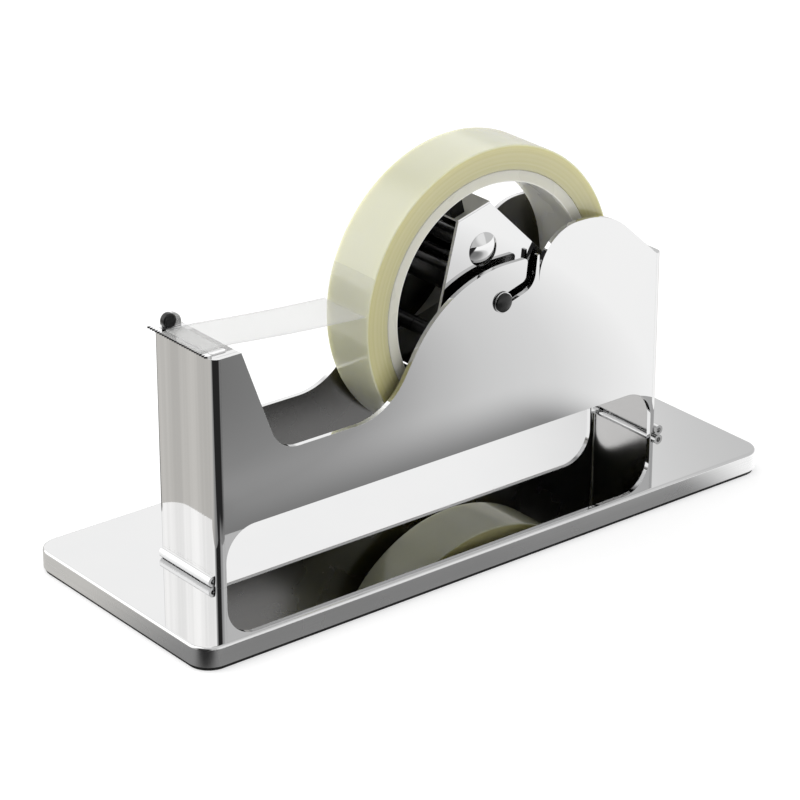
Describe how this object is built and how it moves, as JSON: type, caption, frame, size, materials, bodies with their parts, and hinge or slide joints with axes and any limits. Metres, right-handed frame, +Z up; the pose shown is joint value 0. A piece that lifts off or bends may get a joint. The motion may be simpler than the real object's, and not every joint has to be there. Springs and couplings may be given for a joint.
{
  "type": "tape dispenser",
  "caption": "Weighted desk tape dispenser in mirror chrome, with a clear roll on a three-cornered hub, an axle in J-shaped slots and a serrated cutter on the front post.",
  "frame": {"origin": "centre of the base, on the surface that the dispenser stands on", "axes": "+X from the cutter to the rear, +Y to the left side, +Z up"},
  "size_m": [0.21, 0.084, 0.1136],
  "materials": {
    "chrome": "mirror polished",
    "steel": "turned",
    "blade_steel": "ground",
    "rubber": "matt",
    "white_plastic": "satin",
    "black_plastic": "gloss",
    "core_plastic": "satin",
    "tape_film": "clear layers with a glossy face",
    "tape_strip_film": "clear and glossy"
  },
  "bodies": {
    "stand": {"base_plate": "chrome", "front_foot_bar": "chrome", "rear_foot_bar": "chrome", "right_side_plate": "chrome", "left_side_plate": "chrome", "front_wall": "chrome", "rear_wall": "chrome", "top_cap": "chrome", "guide_ear": "chrome", "guide_pin": "chrome", "base_screws": "steel", "blade_pins": "steel", "cutter_blade": "blade_steel", "base_pad": "rubber", "top_insert": "white_plastic", "edge_stop": "black_plastic"},
    "axle": {"axle_rod": "steel", "right_axle_washer": "chrome", "left_axle_washer": "chrome", "right_axle_collar": "chrome", "left_axle_collar": "chrome", "right_axle_tip": "black_plastic", "left_axle_tip": "black_plastic", "tape_strip": "tape_strip_film"},
    "reel": {"right_hub_plate": "chrome", "left_hub_plate": "chrome", "hub_sleeve": "black_plastic", "hub_pillar_1": "black_plastic", "hub_pillar_2": "black_plastic", "hub_pillar_3": "black_plastic", "hub_bridge_1": "chrome", "hub_bridge_2": "chrome", "hub_bridge_3": "chrome", "core_shoe_1": "black_plastic", "core_shoe_2": "black_plastic", "core_shoe_3": "black_plastic", "right_hub_screws": "chrome", "left_hub_screws": "chrome", "tape_core": "core_plastic", "tape_roll": "tape_film"}
  },
  "joints": [
    {"name": "axle_slide", "type": "slide", "parent": "stand", "child": "axle", "axis": [0.9566, 0, 0.2915], "range_m": [0, 0.008]},
    {"name": "roll_spin", "type": "hinge", "parent": "axle", "child": "reel", "pos_m": [0.0225, 0, 0.0678], "axis": [0, 1, 0], "continuous": true}
  ]
}
